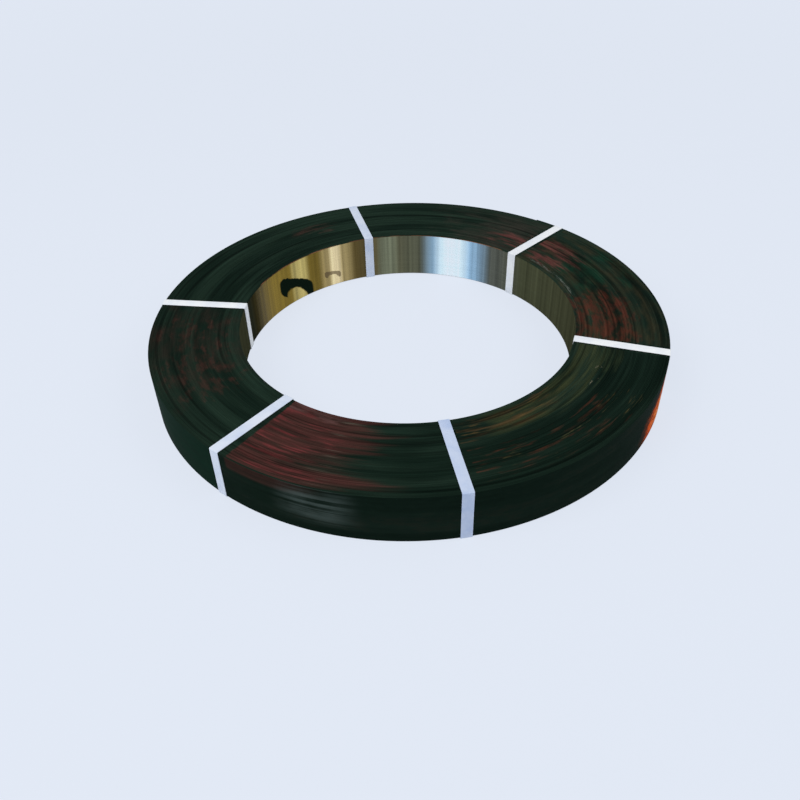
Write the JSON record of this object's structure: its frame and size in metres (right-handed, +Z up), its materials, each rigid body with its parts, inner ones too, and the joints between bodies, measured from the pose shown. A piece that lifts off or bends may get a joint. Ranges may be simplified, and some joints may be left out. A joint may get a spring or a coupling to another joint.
{
  "type": "spring steel strip coil",
  "caption": "Low flat-lying coil of dark blued spring steel strip with a wide round bore, its turns showing on both ends, tied by white plastic straps looped around the coil's wall.",
  "frame": {"origin": "on the axis of the bore, at the floor that the undersides of the straps rest on", "axes": "+Z up along the bore's axis, -Y towards the viewer of the picture, +X to the viewer's right"},
  "size_m": [0.613, 0.613, 0.0617],
  "materials": {
    "blued_steel": "satin",
    "white_strap": "satin"
  },
  "bodies": {
    "root": {"strip_coil": "blued_steel", "strap_1": "white_strap", "strap_2": "white_strap", "strap_3": "white_strap", "strap_4": "white_strap", "strap_5": "white_strap", "strap_6": "white_strap"}
  },
  "joints": []
}
